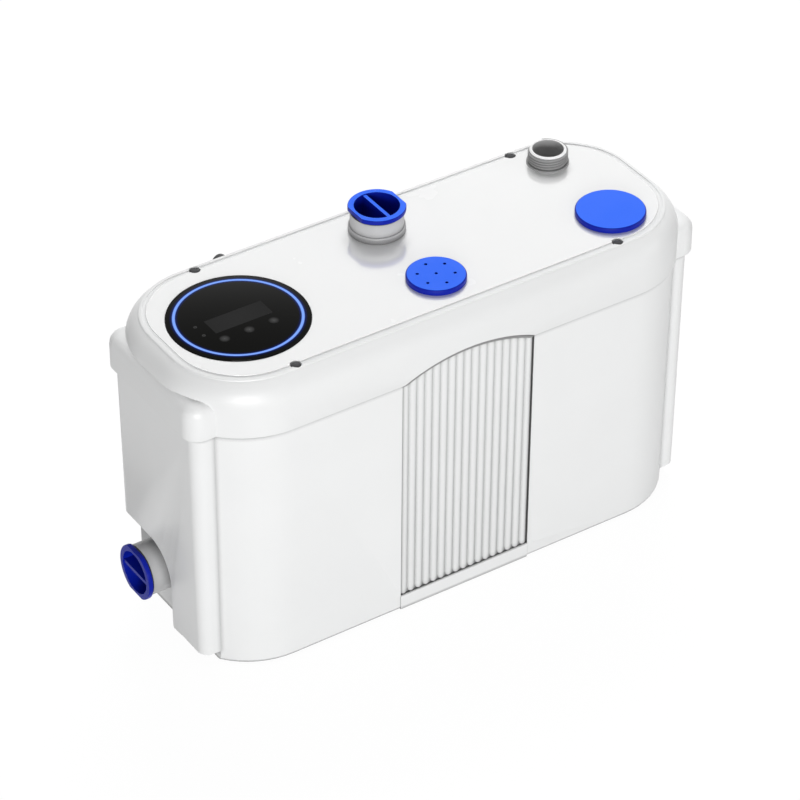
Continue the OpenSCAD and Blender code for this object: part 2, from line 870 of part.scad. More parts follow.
// Rubber boot over the rear spigot, with two clamp beads
module rear_inlet_boot() {
    start = rear_pad_y + rear_flange_t;
    length = rear_reach - start;
    color("dimgray") placed() rear_axis(start) difference() {
        union() {
            cylinder(r = rear_inlet_r + 3, h = length);
            for (z = [2, length - 7]) translate([0, 0, z]) cylinder(r = rear_inlet_r + 4.5, h = 5);
        }
        translate([0, 0, -cut]) cylinder(r = rear_inlet_r + press_clear, h = rear_end_y - start + cut);
        cylinder(r = rear_inlet_r - rear_inlet_wall, h = length + cut);
    }
}

module lock_rings() {
    color("dimgray") placed() {
        translate([top_inlet_x, top_inlet_y, deck_under - lock_ring_t])
            tube(spigot_r + 6, spigot_r + press_clear, lock_ring_t);
        translate([outlet_x, outlet_y, deck_under - lock_ring_t])
            tube(thread_r + 5.4, thread_r + press_clear, lock_ring_t);
    }
}

// Caps
cap_r = spigot_r + cap_out;
cap_flat = spigot_r - cap_flat_in;
bowl_r = bore_r - bowl_in;

module finger_cap() {
    edge = 0.8;
    difference() {
        union() {
            intersection() {
                translate([0, 0, -cap_flange_t]) rotate_extrude($fn = 96) {
                    square([cap_r - edge, cap_flange_t]);
                    translate([0, edge]) square([cap_r, cap_flange_t - 2 * edge]);
                    for (z = [edge, cap_flange_t - edge]) translate([cap_r - edge, z]) circle(edge);
                }
                cube([2 * cap_flat, 4 * cap_r, 4 * cap_flange_t], center = true);
            }
            translate([0, 0, -cap_flange_t - plug_length])
                cylinder(r = bore_r - slide_fit, h = plug_length + cap_flange_t / 2);
        }
        translate([0, 0, -bowl_depth]) cylinder(r = bowl_r, h = bowl_depth + cut);
    }
    intersection() {
        translate([-bar_width / 2, -cap_r, -bowl_depth - cut])
            cube([bar_width, 2 * cap_r, bowl_depth + cut - bar_drop]);
        translate([0, 0, -bowl_depth - cut]) cylinder(r = bowl_r + 0.4, h = bowl_depth + cut);
    }
}

module cap_washer() {
    translate([0, 0, -cap_flange_t - washer_t + seat_gap])
        tube(spigot_r - 0.2, bore_r + 0.1, washer_t - seat_gap);
}

module on_top_inlet() {
    placed() translate([top_inlet_x, top_inlet_y, body_h + top_cap_h]) children();
}

module on_right_inlet() {
    placed() translate([side_cap_x, side_inlet_y, side_inlet_z]) rotate([0, 90, 0]) children();
}

module on_left_inlet() {
    placed() translate([-side_cap_x, side_inlet_y, side_inlet_z]) rotate([0, -90, 0]) children();
}

module top_inlet_cap() {
    color("royalblue") on_top_inlet() finger_cap();
}

module top_cap_seal() {
    color("black") on_top_inlet() cap_washer();
}

module side_cap_left() {
    color("royalblue") on_left_inlet() finger_cap();
}

module side_cap_right() {
    color("royalblue") on_right_inlet() finger_cap();
}

module side_cap_seal_left() {
    color("black") on_left_inlet() cap_washer();
}

module side_cap_seal_right() {
    color("black") on_right_inlet() cap_washer();
}

// Round cap with a soft upper edge and a plug below
module disc_cap(r, neck_bore) {
    soft = 1.6;
    plug_wall = 2;
    translate([0, 0, seat_gap]) rotate_extrude($fn = 96) {
        square([r - soft, disc_cap_h - seat_gap]);
        square([r, disc_cap_h - soft - seat_gap]);
        translate([r - soft, disc_cap_h - soft - seat_gap]) circle(soft);
    }
    translate([0, 0, -disc_plug]) tube(neck_bore - slide_fit, neck_bore - plug_wall, disc_plug + 2 * seat_gap);
}

neck_wall = 2;
vent_bore = vent_neck_r - neck_wall;
access_bore = access_neck_r - neck_wall;
cup_depth = 34;
filter_h = cup_depth - neck_wall - 14;

module vent_cap() {
    color("royalblue") placed() translate([vent_x, vent_y, body_h]) difference() {
        disc_cap(vent_cap_r, vent_bore);
        translate([0, 0, -cut]) cylinder(r = vent_hole_r, h = disc_cap_h + 2 * cut);
        for (i = [0:vent_holes - 1]) rotate([0, 0, 90 + 360 * i / vent_holes])
            translate([vent_ring_r, 0, -cut]) cylinder(r = vent_hole_r, h = disc_cap_h + 2 * cut);
    }
}

module blank_cap() {
    color("royalblue") placed() translate([access_x, access_y, body_h])
        disc_cap(blank_cap_r, access_bore);
}

// Cup that holds the charcoal under the vent cap
module vent_cup() {
    bottom = body_h - cup_depth;
    color("silver") placed() translate([vent_x, vent_y, 0]) difference() {
        union() {
            translate([0, 0, bottom]) cylinder(r = vent_neck_r, h = cup_depth);
            translate([0, 0, deck_z - seat_flange_t]) cylinder(r = vent_flange_r, h = seat_flange_t);
        }
        translate([0, 0, bottom + neck_wall]) cylinder(r = vent_bore, h = cup_depth);
        for (i = [0:vent_holes - 1]) rotate([0, 0, 360 * i / vent_holes])
            translate([vent_bore / 2, 0, bottom - cut]) cylinder(r = 2.5, h = neck_wall + 2 * cut);
    }
}

module vent_filter() {
    color("dimgray") placed() translate([vent_x, vent_y, body_h - cup_depth + neck_wall])
        cylinder(r = vent_bore - slide_fit, h = filter_h);
}

module access_spigot() {
    drop = 22;
    color("silver") placed() translate([access_x, access_y, 0]) {
        translate([0, 0, body_h - drop]) tube(access_neck_r, access_bore, drop);
        translate([0, 0, deck_z - seat_flange_t]) tube(access_flange_r, access_bore, seat_flange_t);
    }
}

// Pressure outlet
outlet_collar_h = 1.5;
outlet_collar_r = thread_r + outlet_collar_out;

module outlet_nipple() {
    color("silver") placed() translate([outlet_x, outlet_y, 0]) difference() {
        union() {
            translate([0, 0, body_h - nipple_drop]) cylinder(r = thread_r, h = nipple_drop + outlet_h);
            translate([0, 0, body_h]) cylinder(r = outlet_collar_r, h = outlet_collar_h);
        }
        translate([0, 0, body_h - nipple_drop - cut]) cylinder(r = outlet_bore_r, h = body_h);
    }
}

// Cable gland on the rear skirt, without its lead
gland_bore_r = 3.5;

module cable_gland() {
    nut_t = 4;
    head_z = lid_wall + gland_proud;
    inner_z = -nut_t - 2;
    top_z = head_z + 12;
    color("dimgray") placed() at_gland(lid_width / 2 - lid_wall) difference() {
        union() {
            translate([0, 0, inner_z]) cylinder(r = gland_r, h = head_z + 8 - inner_z);
            translate([0, 0, -nut_t - 0.15]) cylinder(r = gland_r + 2.4, h = nut_t, $fn = 6);
            translate([0, 0, head_z]) cylinder(r = gland_r + 2.6, h = 5, $fn = 6);
            translate([0, 0, head_z + 5]) cylinder(r1 = gland_r + 1.6, r2 = gland_r, h = 7);
        }
        translate([0, 0, inner_z - cut]) cylinder(r = gland_bore_r, h = top_z - inner_z + 2 * cut);
    }
}

// Control glass and its inlays
glass_top = body_h + glass_proud;

module at_glass(z) {
    placed() translate([glass_x, 0, z]) children();
}

module light_shape(h) {
    tube(light_r, light_r - light_width, h);
}

module display_shape(h) {
    translate([-display_length / 2, -display_width / 2, 0]) cube([display_length, display_width, h]);
}

module key_shapes(h) {
    for (i = [-1:1]) translate([i * key_pitch - 1.5, -key_y, 0]) cylinder(r = key_r, h = h);
}

module led_shapes(h) {
    for (i = [-1, 1]) translate([-led_x, i * led_pitch / 2, 0]) cylinder(r = led_r, h = h);
}

module control_glass() {
    color("black") at_glass(body_h - glass_seat) difference() {
        cylinder(r = glass_r, h = glass_seat + glass_proud);
        translate([0, 0, glass_seat + glass_proud - inlay_depth]) {
            light_shape(inlay_depth + cut);
            display_shape(inlay_depth + cut);
            key_shapes(inlay_depth + cut);
            led_shapes(inlay_depth + cut);
        }
    }
}

module light_ring() {
    color("royalblue") at_glass(glass_top - inlay_depth) light_shape(inlay_depth);
}

module display_window() {
    color("dimgray") at_glass(glass_top - inlay_depth) display_shape(inlay_depth);
}

module touch_keys() {
    color("gray") at_glass(glass_top - inlay_depth) key_shapes(inlay_depth);
}

module indicator_leds() {
    color("gray") at_glass(glass_top - inlay_depth) led_shapes(inlay_depth);
}

// Dry box under the glass, with its electronics and the level tube
box_wall = 2.5;
box_z = deck_z - box_depth;
standoff_h = 20;
board_t = 1.6;
board_r = box_r - 5;
sensor_neck = 3;

module standoffs() {
    for (a = [60, 170, 270]) rotate([0, 0, a])
        translate([board_r - 4, 0, box_z]) cylinder(r = 3, h = box_wall + standoff_h);
}

module control_box() {
    color("silver") at_glass(0) difference() {
        union() {
            translate([0, 0, box_z]) cylinder(r = box_r, h = box_depth);
            translate([0, 0, deck_z - seat_flange_t]) cylinder(r = box_flange_r, h = seat_flange_t);
        }
        difference() {
            translate([0, 0, box_z + box_wall]) cylinder(r = box_r - box_wall, h = box_depth);
            standoffs();
        }
        translate([level_dx, level_y, box_z - cut])
            cylinder(r = level_r + press_clear, h = box_wall + 2 * cut);
    }
}

module control_board() {
    color("darkgreen") at_glass(box_z + box_wall + standoff_h) {
        cylinder(r = board_r, h = board_t);
        translate([-14, -8, board_t]) cube([28, 16, 2.4]);
    }
}

module capacitor() {
    r = 9;
    color("gray") at_glass(box_z + box_wall) translate([-24, 4, r]) rotate([0, 90, 0]) {
        cylinder(r = r, h = 36);
        translate([0, 0, 36]) cylinder(r = 3, h = 3);
    }
}

module pressure_sensor() {
    color("dimgray") at_glass(box_z + box_wall + sensor_neck) translate([level_dx, level_y, 0]) {
        translate([-12, -5, 0]) cube([15, 14, 7]);
        translate([-4.5, 2, 7]) cylinder(r = 3, h = 4);
    }
}

module level_tube() {
    foot_gap = 10;
    bottom = floor_z + foot_gap;
    color("silver") placed() translate([glass_x + level_dx, level_y, 0]) difference() {
        union() {
            translate([0, 0, bottom])
                cylinder(r = level_r, h = box_z + box_wall + sensor_neck - bottom);
            translate([0, 0, box_z - 3]) cylinder(r = level_r + 3, h = 3);
        }
        translate([0, 0, bottom - cut]) cylinder(r = level_r - 2, h = box_z - bottom);
        translate([0, 0, bottom]) cylinder(r = 2, h = body_h);
    }
}

// Motor
flange_t = 4;
motor_wall = 3;
housing_in = motor_r - motor_wall;
motor_floor = motor_z + 5;
bearing_seat = motor_z + 1;
neck_r = bearing_r + 2;
seal_r = bearing_r - 1;
motor_top = motor_hang_z + flange_t;
upper_seat = motor_top - 5;
stator_z = motor_floor + 27;
stator_h = motor_length - 54;
air_gap = 0.4;

module at_motor(z) {
    placed() translate([0, motor_y, z]) children();
}

module motor_housing() {
    color("gainsboro") at_motor(0) rotate_extrude($fn = 96) polygon([
        [shaft_r + 0.6, neck_z], [neck_r, neck_z], [neck_r, motor_z - 4], [motor_r - 14, motor_z],
        [motor_r, motor_z + 5], [motor_r, motor_hang_z], [motor_r + 5, motor_hang_z],
        [motor_r + 5, motor_top], [housing_in, motor_top], [housing_in, motor_floor],
        [bearing_r + 3, motor_floor], [bearing_r + 3, bearing_seat + bearing_h],
        [bearing_r + press_clear, bearing_seat + bearing_h], [bearing_r + press_clear, bearing_seat],
        [seal_r + press_clear, bearing_seat], [seal_r + press_clear, neck_z + 3],
        [shaft_r + 0.6, neck_z + 3]
    ]);
}

module motor_top_cap() {
    boss_z = upper_seat - bearing_h - 2;
    color("gainsboro") at_motor(0) rotate_extrude($fn = 96) polygon([
        [0, motor_top + 5], [motor_r, motor_top + 5], [motor_r + 5, motor_top + 2],
        [motor_r + 5, motor_top], [housing_in - press_clear, motor_top],
        [housing_in - press_clear, motor_top - 3], [bearing_r + 3, motor_top - 3],
        [bearing_r + 3, boss_z], [bearing_r + press_clear, boss_z],
        [bearing_r + press_clear, upper_seat], [0, upper_seat]
    ]);
}

module stator() {
    color("peru") at_motor(stator_z) tube(housing_in - press_clear, rotor_r + air_gap, stator_h);
}

module rotor_core() {
    color("silver") at_motor(stator_z + 2) tube(rotor_r, shaft_r + press_clear, stator_h - 4);
}

// Shaft with its lower head and the shoulder under the blade
shaft_head_h = 1.5;
shaft_z = volute_z + 0.5;

module drive_shaft() {
    color("silver") at_motor(0) {
        translate([0, 0, shaft_z]) cylinder(r = shaft_r, h = upper_seat - 0.5 - shaft_z);
        translate([0, 0, shaft_z]) cylinder(r = shaft_r + 3, h = shaft_head_h);
        translate([0, 0, shoulder_top - 6]) cylinder(r = shaft_r + 3, h = 6);
    }
}

module bearing() {
    tube(bearing_r, shaft_r + slide_fit, bearing_h);
}

module upper_bearing() {
    color("lightgray") at_motor(upper_seat - bearing_h) bearing();
}

module lower_bearing() {
    color("lightgray") at_motor(bearing_seat) bearing();
}

module shaft_seal() {
    color("black") at_motor(neck_z + 3) tube(seal_r, shaft_r + slide_fit, seal_h);
}

bracket_length = post_span_x + 18;
bracket_width = post_span_y + 16;

module motor_bracket() {
    color("silver") placed() translate([0, 0, motor_hang_z - bracket_t]) difference() {
        linear_extrude(bracket_t) rounded(bracket_length, bracket_width, 9);
        translate([0, motor_y, -cut]) cylinder(r = motor_r + hole_fit, h = bracket_t + 2 * cut);
        translate([top_inlet_x, top_inlet_y - 8, -cut])
            cylinder(r = spigot_r + 8.4, h = bracket_t + 2 * cut);
        at_corners(post_span_x, post_span_y) translate([0, 0, -cut])
            cylinder(r = 2.7, h = bracket_t + 2 * cut);
    }
}

module motor_dampers() {
    color("black") placed() translate([0, 0, post_top])
        at_corners(post_span_x, post_span_y) tube(post_r, 2.7, damper_t);
}

module bracket_screws() {
    bite = 14;
    shank = bracket_t + damper_t + bite;
    color("silver") placed() translate([0, 0, motor_hang_z])
        at_corners(post_span_x, post_span_y) difference() {
            union() {
                cylinder(r = 4.4, h = 2.6);
                translate([0, 0, -shank]) cylinder(r = post_hole_r - press_clear, h = shank + cut);
            }
            translate([0, 0, 1.2]) cylinder(r = 1.7, h = 2, $fn = 6);
        }
}

// Pump
pump_line_z = volute_z + volute_h / 2 - 0.5;
outlet_offset = 26;
stub_bore = 10;
stub_r = hose_r - 2.6;
stub_start = 72;
stub_length = 86;
run_x = outlet_x;
run_y = outlet_y - motor_y;
run = sqrt(run_x * run_x + run_y * run_y);
run_angle = atan2(run_y, run_x) - asin(outlet_offset / run);
run_length = sqrt(run * run - outlet_offset * outlet_offset);

// Frame whose X axis is the line from the volute to the foot of the check valve
module on_run() {
    at_motor(pump_line_z) rotate([0, 0, run_angle]) translate([0, outlet_offset, 0]) children();
}

module along_run(start, length, r) {
    translate([start, 0, 0]) rotate([0, 90, 0]) cylinder(r = r, h = length);
}

chamber_wall = 9;
impeller_r = volute_r - chamber_wall - impeller_gap;

module volute() {
    roof_t = 4;
    color("gainsboro") difference() {
        union() {
            at_motor(volute_z) cylinder(r = volute_r, h = volute_h);
            on_run() along_run(20, stub_length - 20, stub_r);
        }
        at_motor(volute_z - cut) cylinder(r = volute_r - chamber_wall, h = volute_h - roof_t + cut);
        at_motor(volute_z) cylinder(r = shaft_r + 0.6, h = volute_h + cut);
        on_run() along_run(10, stub_length, stub_bore);
    }
}

module suction_plate() {
    plate = 3;
    color("silver") {
        at_motor(volute_z - plate) tube(volute_r, 15, plate);
        at_motor(floor_z) for (i = [0:3]) rotate([0, 0, 45 + 90 * i])
            translate([volute_r - 6, 0, 0]) cylinder(r = 4, h = volute_z - plate - floor_z);
    }
}

// Shrouded impeller with vanes swept back along arcs
module impeller() {
    shroud_t = 3;
    vane_t = 2.2;
    base = shaft_z + shaft_head_h;
    height = roof_z - 6 - base;
    vane_arc = 0.6 * impeller_r;
    color("dimgray") at_motor(base) difference() {
        union() {
            cylinder(r = shaft_r + 4, h = height);
            translate([0, 0, height - shroud_t]) cylinder(r = impeller_r, h = shroud_t);
            for (i = [0:vane_count - 1]) rotate([0, 0, 360 * i / vane_count]) intersection() {
                translate([vane_arc, 0, 2]) tube(vane_arc + vane_t / 2, vane_arc - vane_t / 2, height - 3);
                translate([0, 0, 1]) cylinder(r = impeller_r - 0.5, h = height);
                cube([2 * impeller_r, 2 * impeller_r, 2 * height]);
            }
        }
        translate([0, 0, -cut]) cylinder(r = shaft_r + press_clear, h = height + 2 * cut);
    }
}

// Two-armed blade with upturned tips, ground on the leading edges
module macerator_blade() {
    half = 7;
    tip_h = 10;
    color("silver") at_motor(shoulder_top) difference() {
        for (m = [0, 180]) rotate([0, 0, m]) {
            linear_extrude(blade_t) polygon([
                [-half, -half], [12, -half], [blade_r - 2, -3], [blade_r - 2, half - 2],
                [blade_r - 9, half], [-half, half]
            ]);
            translate([blade_r - 4.6, -3, 0]) linear_extrude(tip_h)
                polygon([[0, 1], [2.6, 0], [2.6, half + 1], [0, half + 1]]);
        }
        translate([0, 0, -cut]) cylinder(r = shaft_r + press_clear, h = blade_t + 2 * cut);
    }
}

module blade_nut() {
    color("silver") at_motor(shoulder_top + blade_t) difference() {
        cylinder(r = shaft_r + 4, h = nut_h, $fn = 6);
        translate([0, 0, -cut]) cylinder(r = shaft_r + press_clear, h = nut_h + 2 * cut);
    }
}

// Perforated cage round the blade, open above and cut away at the rear inlet
basket_r = cavity_half + motor_y - basket_gap;
basket_rear = cavity_half - basket_r - 6.2;

module basket_plan(r) {
    length = basket_rear - motor_y;
    translate([0, motor_y]) circle(r);
    translate([0, basket_rear]) circle(r);
    translate([-r, motor_y]) square([2 * r, length]);
}

module basket_slots() {
    slot_w = 6;
    slot_h = 46;
    slot_z = roof_z + 10;
    for (i = [-4:4]) {
        translate([0, motor_y, slot_z]) rotate([0, 0, -90 + 18 * i])
            translate([basket_r - 6, -slot_w / 2, 0]) cube([12, slot_w, slot_h]);
        translate([0, basket_rear, slot_z]) rotate([0, 0, 90 + 18 * i])
            translate([basket_r - 6, -slot_w / 2, 0]) cube([12, slot_w, slot_h]);
    }
    for (y = [motor_y + 8, motor_y + 26])
        translate([-2 * basket_r, y, slot_z]) cube([4 * basket_r, slot_w, slot_h]);
}

module strainer_basket() {
    color("silver") placed() difference() {
        translate([0, 0, roof_z]) linear_extrude(basket_h) basket_plan(basket_r);
        translate([0, 0, roof_z + 2]) linear_extrude(basket_h) basket_plan(basket_r - basket_t);
        translate([0, motor_y, roof_z - cut]) cylinder(r = shaft_r + 1, h = 4);
        rear_axis(basket_rear) cylinder(r = rear_inlet_r, h = lid_width);
        basket_slots();
    }
}

// Check valve between the hose and the nipple
socket_z = body_h - nipple_drop;
socket_h = 12;
chamber_h = 36;
chamber_roof_h = 13;
seat_z = socket_z - chamber_h - chamber_roof_h;
valve_spigot = 20;
spigot_foot = seat_z - 3 - valve_spigot;

hose_steps = 48;
bend_steps = 9;
hose_path = concat(
    [[stub_start, 0, 0]],
    [
        for (i = [0:bend_steps])
            let (a = 90 * i / bend_steps)
            [run_length - hose_bend_r * (1 - sin(a)), hose_bend_r * (1 - cos(a)), a]
    ],
    [[run_length, seat_z - 5 - pump_line_z, 90]]
);

// Points round the hose at one place of its path, which holds [x, z, slope]
function hose_ring(at, r) = [
    for (i = [0:hose_steps - 1])
        let (t = 360 * i / hose_steps)
        [at[0] - sin(at[2]) * r * cos(t), -r * sin(t), at[1] + cos(at[2]) * r * cos(t)]
];

module discharge_hose() {
    inner = (stub_r + press_clear) / cos(180 / hose_steps);
    n = hose_steps;
    last = len(hose_path) - 1;
    wall = [
        for (r = [hose_r, inner], p = hose_path, q = hose_ring(p, r)) q
    ];
    faces = [
        for (s = [0, 1], k = [0:last - 1], i = [0:n - 1])
            let (
                j = (i + 1) % n,
                base = s * (last + 1) * n,
                a = base + k * n + i,
                b = base + (k + 1) * n + i,
                c = base + (k + 1) * n + j,
                d = base + k * n + j
            )
            s == 0 ? [a, b, c, d] : [d, c, b, a]
    ];
    ends = [
        for (e = [0, last], i = [0:n - 1])
            let (
                j = (i + 1) % n,
                inner_base = (last + 1 + e) * n,
                quad = [e * n + i, e * n + j, inner_base + j, inner_base + i]
            )
            e == 0 ? quad : [quad[3], quad[2], quad[1], quad[0]]
    ];
    color("black") on_run() polyhedron(wall, concat(faces, ends));
}

pin_x = chamber_r - 4;
pin_z = seat_z + 3;
pin_r = 1.5;
pin_half = 12.9;

module at_outlet(z) {
    placed() translate([outlet_x, outlet_y, z]) children();
}

module across_pin(length, r) {
    translate([pin_x, -length / 2, pin_z]) rotate([-90, 0, 0]) cylinder(r = r, h = length);
}

module check_valve_body() {
    wall = 3.2;
    roof = seat_z + chamber_h;
    color("gainsboro") at_outlet(0) difference() {
        rotate_extrude($fn = 96) polygon([
            [stub_bore, spigot_foot], [stub_r, spigot_foot], [stub_r, seat_z - 3],
            [chamber_r + wall, seat_z - 3], [chamber_r + wall, roof + 2],
            [thread_r + 3.4, roof + 8], [thread_r + 3.4, socket_z + socket_h],
            [thread_r + press_clear, socket_z + socket_h], [thread_r + press_clear, socket_z],
            [outlet_bore_r, socket_z], [outlet_bore_r, roof + 5], [chamber_r, roof],
            [chamber_r, seat_z], [stub_bore, seat_z]
        ]);
        across_pin(2 * pin_half + 0.1, pin_r + press_clear);
    }
}

module check_valve_flap() {
    knuckle_r = 2.8;
    knuckle_w = 7.8;
    disc_r = stub_bore + 3.5;
    color("black") at_outlet(0) difference() {
        union() {
            translate([0, 0, seat_z + seat_gap]) cylinder(r = disc_r, h = 2.5);
            translate([disc_r - 4, -knuckle_w / 2, seat_z + seat_gap])
                cube([pin_x - disc_r + 4, knuckle_w, 2.5]);
            across_pin(knuckle_w, knuckle_r);
        }
        across_pin(knuckle_w + 2 * cut, pin_r + slide_fit);
    }
}

module valve_pin() {
    color("silver") at_outlet(0) across_pin(2 * pin_half, pin_r);
}

tank();
lid();
lid_gasket();
cover_plate();
cover_screws();
feet();
top_inlet_spigot();
top_inlet_cap();
top_cap_seal();
outlet_nipple();
lock_rings();
vent_cap();
vent_cup();
vent_filter();
blank_cap();
access_spigot();
side_inlet_spigot_left();
side_inlet_spigot_right();
side_cap_left();
side_cap_right();
side_cap_seal_left();
side_cap_seal_right();
rear_inlet_spigot();
rear_inlet_boot();
cable_gland();
control_glass();
light_ring();
display_window();
touch_keys();
indicator_leds();
control_box();
control_board();
capacitor();
pressure_sensor();
level_tube();
motor_housing();
motor_top_cap();
stator();
rotor_core();
drive_shaft();
upper_bearing();
lower_bearing();
shaft_seal();
motor_bracket();
motor_dampers();
bracket_screws();
volute();
suction_plate();
impeller();
macerator_blade();
blade_nut();
strainer_basket();
discharge_hose();
check_valve_body();
check_valve_flap();
valve_pin();
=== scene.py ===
import json
import math

import bmesh
import bpy
from mathutils import Matrix, Vector


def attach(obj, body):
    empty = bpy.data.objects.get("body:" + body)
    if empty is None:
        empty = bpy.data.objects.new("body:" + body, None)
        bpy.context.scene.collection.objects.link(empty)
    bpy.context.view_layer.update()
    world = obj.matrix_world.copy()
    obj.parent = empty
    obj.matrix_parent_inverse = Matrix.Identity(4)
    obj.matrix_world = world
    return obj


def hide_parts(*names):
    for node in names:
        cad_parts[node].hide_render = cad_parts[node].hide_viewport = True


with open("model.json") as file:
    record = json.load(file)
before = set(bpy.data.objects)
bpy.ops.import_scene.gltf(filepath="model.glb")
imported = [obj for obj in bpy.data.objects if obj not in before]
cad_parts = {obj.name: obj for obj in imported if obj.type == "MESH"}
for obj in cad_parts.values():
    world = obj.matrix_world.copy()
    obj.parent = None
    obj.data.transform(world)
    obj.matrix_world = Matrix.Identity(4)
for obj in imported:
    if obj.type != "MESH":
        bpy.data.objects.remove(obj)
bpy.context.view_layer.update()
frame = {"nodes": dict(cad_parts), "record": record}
nodes = frame["nodes"]
bodyOfNode = {n: b for b, group in frame["record"]["behaviour"]["bodies"].items() for n in group}
mm = 0.001


# Lowest and highest corner of a CAD node
def sidesOf(node):
    points = [vertex.co for vertex in nodes[node].data.vertices]
    return [Vector([pick(point[axis] for point in points) for axis in range(3)]) for pick in (min, max)]


def middleOf(node):
    low, high = sidesOf(node)
    return (low + high) / 2


plateTop = sidesOf("cover_plate")[1].z
middleY = middleOf("cover_plate").y


def link(tree, a, b):
    tree.links.new(a, b)


# Math or Vector Math node. Each term is a socket to link or a plain value
def mathNode(tree, operation, *terms, kind="ShaderNodeMath"):
    node = tree.nodes.new(kind)
    node.operation = operation
    for socket, term in zip(node.inputs, terms):
        if isinstance(term, bpy.types.NodeSocket):
            link(tree, term, socket)
        else:
            socket.default_value = term
    return node


# Node group with its sockets and their defaults. Four numbers make a colour
def startGroup(name, takes, gives):
    group = bpy.data.node_groups.new(name, "ShaderNodeTree")
    for way, sockets in (("INPUT", takes), ("OUTPUT", gives)):
        for title, value in sockets.items():
            kind = "NodeSocketColor" if isinstance(value, tuple) else "NodeSocketFloat"
            socket = group.interface.new_socket(name=title, in_out=way, socket_type=kind)
            socket.default_value = value
    return group


paleGrey = (0.8, 0.8, 0.8, 1)


# Clouded colour, uneven gloss and fine grain, shared by the plastics, rubbers and metals
def buildSkinGroup():
    group = startGroup("mouldedSkin", {
        "Color": paleGrey, "Shade": paleGrey, "Cloud Scale": 25.0, "Cloud Amount": 0.5,
        "Grain Scale": 900.0, "Roughness": 0.4, "Roughness Spread": 0.08,
    }, {"Color": paleGrey, "Roughness": 0.4, "Height": 0.0})
    new = group.nodes.new
    entry, leave = new("NodeGroupInput"), new("NodeGroupOutput")
    place, cloud, grain = new("ShaderNodeTexCoord"), new("ShaderNodeTexNoise"), new("ShaderNodeTexNoise")
    for noise, scale, detail in ((cloud, "Cloud Scale", 3.0), (grain, "Grain Scale", 2.0)):
        noise.inputs["Detail"].default_value = detail
        link(group, place.outputs["Object"], noise.inputs["Vector"])
        link(group, entry.outputs[scale], noise.inputs["Scale"])
    amount = mathNode(group, "MULTIPLY", cloud.outputs["Fac"], entry.outputs["Cloud Amount"])
    tint = new("ShaderNodeMix")
    tint.data_type = "RGBA"
    link(group, amount.outputs[0], tint.inputs["Factor"])
    link(group, entry.outputs["Color"], tint.inputs["A"])
    link(group, entry.outputs["Shade"], tint.inputs["B"])
    width, roughness = entry.outputs["Roughness Spread"], entry.outputs["Roughness"]
    spread = mathNode(group, "MULTIPLY_ADD", cloud.outputs["Fac"], width, roughness)
    link(group, tint.outputs["Result"], leave.inputs["Color"])
    link(group, spread.outputs[0], leave.inputs["Roughness"])
    link(group, grain.outputs["Fac"], leave.inputs["Height"])
    return group


# Painted shade: darkens a colour in seams and tight corners by ambient occlusion
def buildCreaseGroup():
    group = startGroup(
        "creaseShade", {"Color": paleGrey, "Reach": 0.004, "Depth": 2.0}, {"Color": paleGrey})
    new = group.nodes.new
    entry, leave, near = new("NodeGroupInput"), new("NodeGroupOutput"), new("ShaderNodeAmbientOcclusion")
    near.samples = 12
    link(group, entry.outputs["Reach"], near.inputs["Distance"])
    light = mathNode(group, "POWER", near.outputs["AO"], entry.outputs["Depth"])
    tint = mathNode(group, "SCALE", entry.outputs["Color"], kind="ShaderNodeVectorMath")
    link(group, light.outputs[0], tint.inputs["Scale"])
    link(group, tint.outputs[0], leave.inputs["Color"])
    return group


skinGroup = buildSkinGroup()
creaseGroup = buildCreaseGroup()


def startMaterial(name):
    mat = bpy.data.materials.new(name)
    mat.use_nodes = True
    return mat, mat.node_tree, mat.node_tree.nodes["Principled BSDF"]


def makeMaterial(name, look):
    mat, tree, shader = startMaterial(name)
    skin = tree.nodes.new("ShaderNodeGroup")
    skin.node_tree = skinGroup
    skin.inputs["Color"].default_value = (*look["color"], 1)
    skin.inputs["Shade"].default_value = (*[c * look.get("shade", 0.94) for c in look["color"]], 1)
    skin.inputs["Cloud Scale"].default_value = look.get("cloudScale", 25.0)
    skin.inputs["Grain Scale"].default_value = look.get("grainScale", 900.0)
    skin.inputs["Roughness"].default_value = look["roughness"]
    base = skin.outputs["Color"]
    # Painted shade in seams and corners, multiplied into the base colour
    if "paintedCreaseShade" in look:
        paintedCreaseShade = tree.nodes.new("ShaderNodeGroup")
        paintedCreaseShade.node_tree = creaseGroup
        reach, depth = look["paintedCreaseShade"]
        paintedCreaseShade.inputs["Reach"].default_value = reach * mm
        paintedCreaseShade.inputs["Depth"].default_value = depth
        link(tree, base, paintedCreaseShade.inputs["Color"])
        base = paintedCreaseShade.outputs["Color"]
    link(tree, base, shader.inputs["Base Color"])
    link(tree, skin.outputs["Roughness"], shader.inputs["Roughness"])
    bump = tree.nodes.new("ShaderNodeBump")
    bump.inputs["Strength"].default_value = look["bump"]
    bump.inputs["Distance"].default_value = look.get("bumpDepth", 0.05) * mm
    link(tree, skin.outputs["Height"], bump.inputs["Height"])
    link(tree, bump.outputs["Normal"], shader.inputs["Normal"])
    shader.inputs["Metallic"].default_value = look.get("metallic", 0.0)
    shader.inputs["Specular IOR Level"].default_value = look.get("specular", 0.5)
    shader.inputs["Coat Weight"].default_value = look.get("coat", 0.0)
    shader.inputs["Coat Roughness"].default_value = look.get("coatRoughness", 0.06)
    shader.inputs["Coat IOR"].default_value = look.get("coatIndex", 1.5)
    return mat


def grey(tone):
    return (tone, tone, tone)
